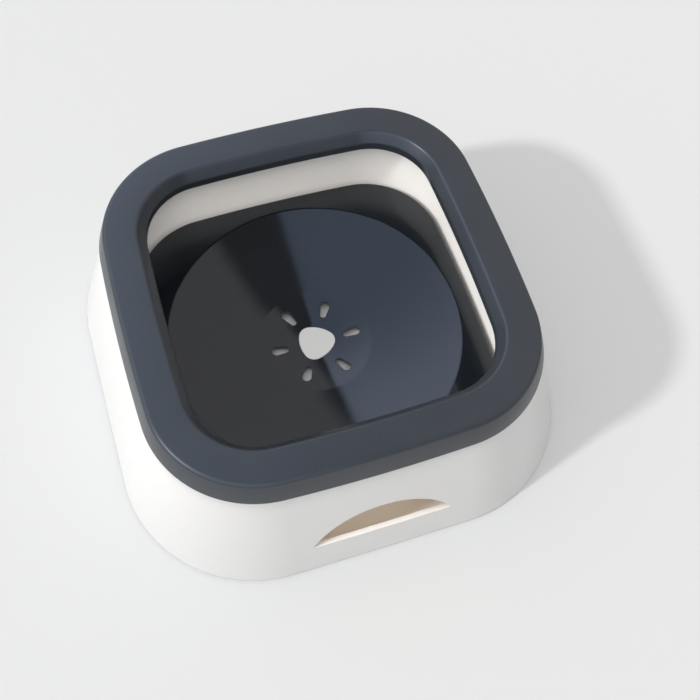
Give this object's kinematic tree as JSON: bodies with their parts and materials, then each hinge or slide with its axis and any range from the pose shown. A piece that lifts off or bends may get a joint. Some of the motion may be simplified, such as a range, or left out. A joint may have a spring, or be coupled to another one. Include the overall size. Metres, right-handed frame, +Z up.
{
  "type": "no spill dog water bowl",
  "caption": "Square water bowl for dogs with a clip-on splash ring and a floating disc that lets a little water up through its slots, so a drinking dog spills less.",
  "frame": {"origin": "centre of the footprint, on the floor that the foot pads stand on", "axes": "+Z up, -Y towards the front wall with a finger opening, +X to the right seen from the front"},
  "size_m": [0.2156, 0.2156, 0.073],
  "materials": {
    "bowl_white": "gloss",
    "ring_slate": "satin",
    "disc_slate": "mirror gloss",
    "float_white": "gloss",
    "foot_rubber": "matte"
  },
  "bodies": {
    "bowl": {"bowl_body": "bowl_white", "rim_ring": "ring_slate", "foot_front_left": "foot_rubber", "foot_front_right": "foot_rubber", "foot_back_left": "foot_rubber", "foot_back_right": "foot_rubber"},
    "float": {"float_disc": "disc_slate", "float_base": "float_white"}
  },
  "joints": [
    {"name": "float_rise", "type": "slide", "parent": "bowl", "child": "float", "axis": [0, 0, 1], "range_m": [0, 0.0406]}
  ]
}
